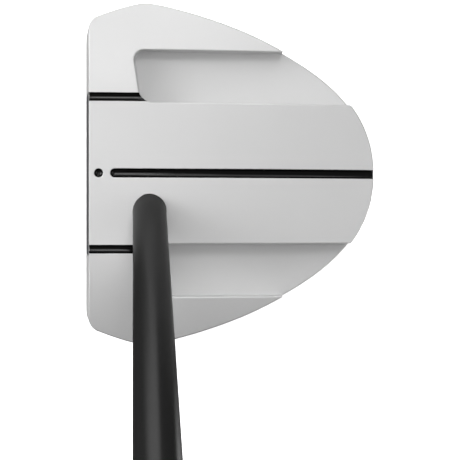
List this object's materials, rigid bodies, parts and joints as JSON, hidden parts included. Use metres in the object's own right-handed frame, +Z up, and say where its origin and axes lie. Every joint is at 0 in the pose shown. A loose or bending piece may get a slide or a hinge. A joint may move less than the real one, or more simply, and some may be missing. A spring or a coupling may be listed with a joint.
{
  "type": "mallet putter",
  "caption": "Mallet putter: flat raised deck, open toe and heel pockets, black sight grooves, lofted face insert, straight black shaft set into the head and a flat-front grip.",
  "frame": {"origin": "on the ground, on the head's centre plane, under the middle of the flat sole, 38 mm behind the strike face", "axes": "+X from the strike face to the back of the head, +Y towards the toe, +Z up; the shaft leans 18.5 degrees towards -Y, the heel"},
  "size_m": [0.0836, 0.3372, 0.8226],
  "materials": {
    "head_paint": "satin",
    "face_insert": "matte",
    "adhesive": "satin",
    "sole_plate": "satin",
    "damper": "matte",
    "screws": "satin",
    "weights": "satin",
    "washers": "matte",
    "shaft": "satin",
    "nylon": "satin",
    "grip_tape": "matte",
    "grip_core": "matte",
    "grip_skin": "matte"
  },
  "bodies": {
    "root": {"head_body": "head_paint", "face_insert": "face_insert", "insert_tape": "adhesive", "sole_plate": "sole_plate", "cavity_damper": "damper", "sole_screw_toe_front": "screws", "sole_screw_heel_front": "screws", "sole_screw_toe_rear": "screws", "sole_screw_heel_rear": "screws", "toe_weight": "weights", "heel_weight": "weights", "toe_weight_washer": "washers", "heel_weight_washer": "washers", "shaft": "shaft", "shaft_bond": "adhesive", "shaft_tip_plug": "nylon", "grip_tape": "grip_tape", "grip_core": "grip_core", "grip_skin": "grip_skin", "grip_cap": "nylon"}
  },
  "joints": []
}
